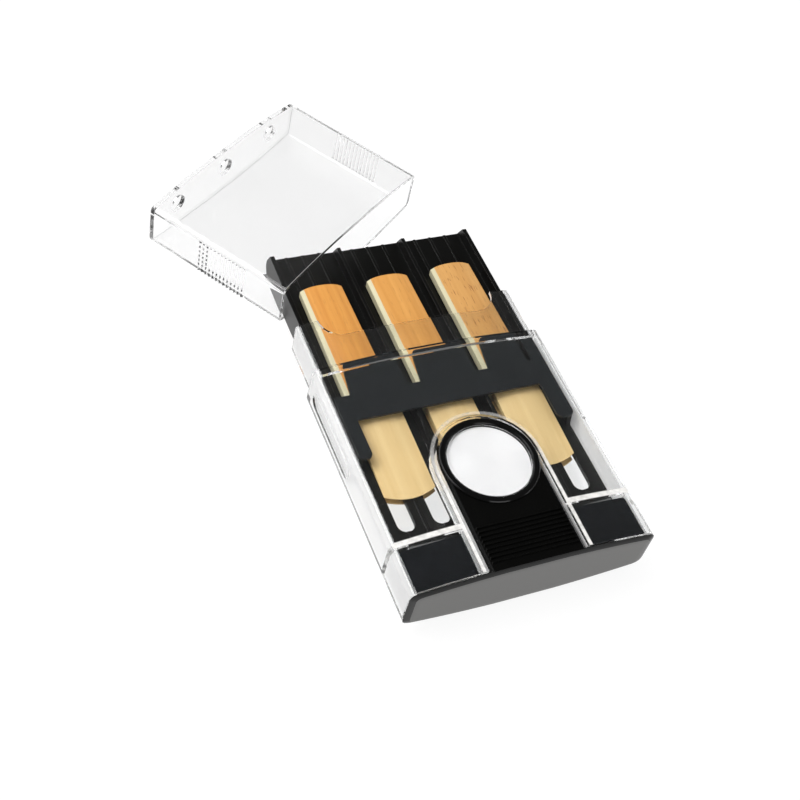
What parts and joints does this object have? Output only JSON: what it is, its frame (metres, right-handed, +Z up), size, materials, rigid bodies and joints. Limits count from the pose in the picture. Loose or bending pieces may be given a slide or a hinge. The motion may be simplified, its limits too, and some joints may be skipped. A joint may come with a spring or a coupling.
{
  "type": "reed case",
  "caption": "Double-sided clear case for clarinet reeds with a sliding humidity drawer, a round indicator and a lid taken off beside it.",
  "frame": {"origin": "on the surface that the case rests on, under the middle of the sleeve's body", "axes": "+X across the case to the right, +Y along it towards the open end, +Z up out of the front face"},
  "size_m": [0.0861, 0.1644, 0.0165],
  "materials": {
    "clear_plastic": "clear gloss",
    "window_plastic": "clear gloss",
    "black_plastic": "satin",
    "tray_plastic": "satin",
    "comb_plastic": "satin",
    "cane_wood": "natural",
    "foam": "open cell",
    "felt": "felt",
    "card_white": "satin"
  },
  "bodies": {
    "case": {"sleeve": "clear_plastic", "tray": "tray_plastic", "comb_front": "comb_plastic", "comb_back": "comb_plastic"},
    "drawer": {"drawer": "black_plastic", "foam_front_left": "foam", "foam_front_right": "foam", "foam_back_left": "foam", "foam_back_right": "foam", "indicator_cup": "black_plastic", "humidity_pad": "felt", "indicator_card": "card_white", "indicator_window": "window_plastic"},
    "lid": {"lid": "clear_plastic"},
    "reed_front_left": {"reed_front_left": "cane_wood"},
    "reed_front_middle": {"reed_front_middle": "cane_wood"},
    "reed_front_right": {"reed_front_right": "cane_wood"},
    "reed_back_left": {"reed_back_left": "cane_wood"},
    "reed_back_middle": {"reed_back_middle": "cane_wood"},
    "reed_back_right": {"reed_back_right": "cane_wood"}
  },
  "joints": [
    {"name": "drawer_slide", "type": "slide", "parent": "case", "child": "drawer", "axis": [0, -1, 0], "range_m": [0, 0.018]},
    {"name": "lid_slide", "type": "slide", "parent": "case", "child": "lid", "axis": [-0.5707, 0.8211, 0], "range_m": [0, 0.06]},
    {"name": "reed_front_left_slide", "type": "slide", "parent": "case", "child": "reed_front_left", "axis": [0, 1, 0], "range_m": [0, 0.032]},
    {"name": "reed_front_middle_slide", "type": "slide", "parent": "case", "child": "reed_front_middle", "axis": [0, 1, 0], "range_m": [0, 0.032]},
    {"name": "reed_front_right_slide", "type": "slide", "parent": "case", "child": "reed_front_right", "axis": [0, 1, 0], "range_m": [0, 0.032]},
    {"name": "reed_back_left_slide", "type": "slide", "parent": "case", "child": "reed_back_left", "axis": [0, 1, 0], "range_m": [0, 0.032]},
    {"name": "reed_back_middle_slide", "type": "slide", "parent": "case", "child": "reed_back_middle", "axis": [0, 1, 0], "range_m": [0, 0.032]},
    {"name": "reed_back_right_slide", "type": "slide", "parent": "case", "child": "reed_back_right", "axis": [0, 1, 0], "range_m": [0, 0.032]}
  ]
}
